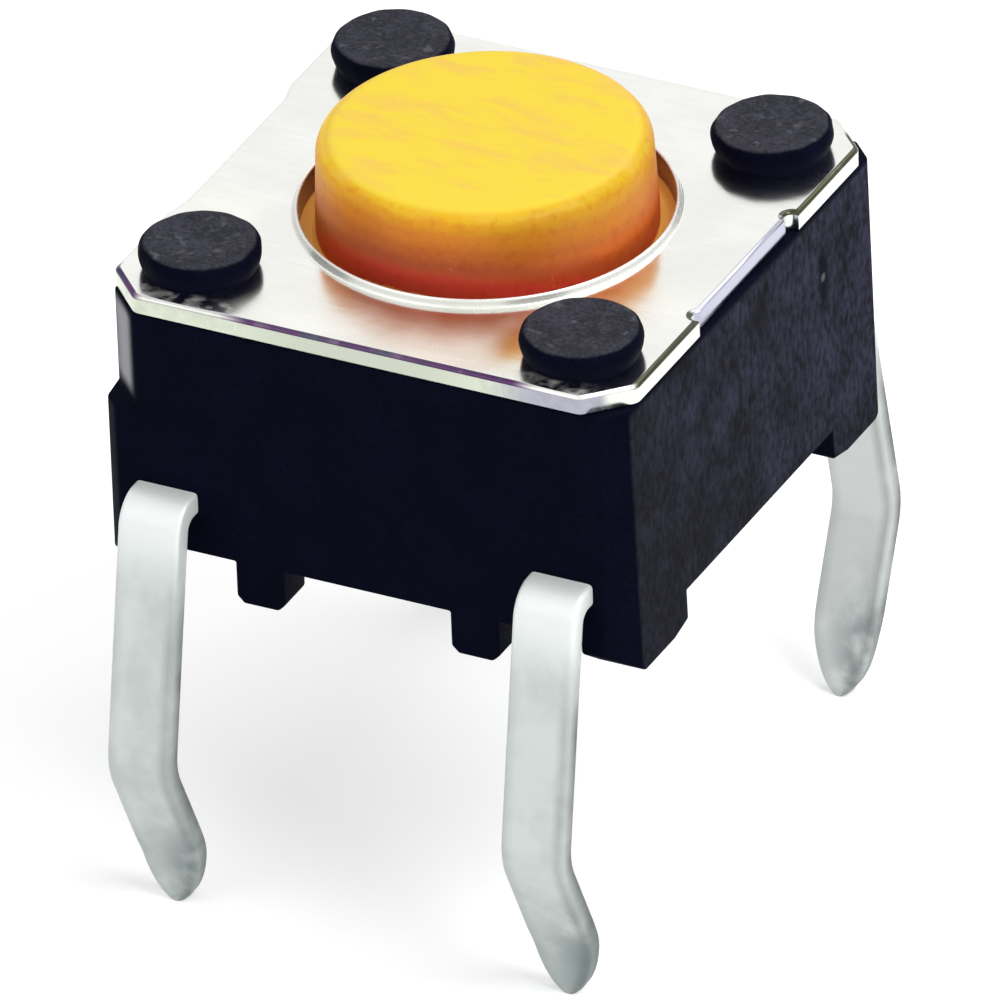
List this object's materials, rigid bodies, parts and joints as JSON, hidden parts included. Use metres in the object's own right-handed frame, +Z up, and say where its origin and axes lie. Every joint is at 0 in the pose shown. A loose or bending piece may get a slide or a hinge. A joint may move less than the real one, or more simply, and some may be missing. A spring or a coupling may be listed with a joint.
{
  "type": "tactile push button switch",
  "caption": "Square through-hole tactile switch with a round plunger under a staked metal plate and bent snap-in legs.",
  "frame": {"origin": "middle of the four-terminal pattern, on the plane of the feet that seat on the board", "axes": "+Z up through the plunger, +Y across the body from one pair of legs to the other, +X along the side that shows two legs"},
  "size_m": [0.006, 0.0078, 0.008],
  "materials": {
    "body_plastic": "fine grained black moulding",
    "plate_metal": "bright, faint grain",
    "button_plastic": "satin yellow moulding",
    "dome_metal": "bright spring steel",
    "terminal_metal": "silver plated, satin"
  },
  "bodies": {
    "housing": {"base": "body_plastic", "cover": "plate_metal", "contact_dome": "dome_metal", "terminal_left": "terminal_metal", "terminal_right": "terminal_metal"},
    "button": {"plunger": "button_plastic"}
  },
  "joints": [
    {"name": "press", "type": "slide", "parent": "housing", "child": "button", "axis": [0, 0, 1], "range_m": [-0.00025, 0], "stiffness_N_per_m": 4200, "springref_m": 0.0001, "deforming": ["contact_dome"]}
  ]
}
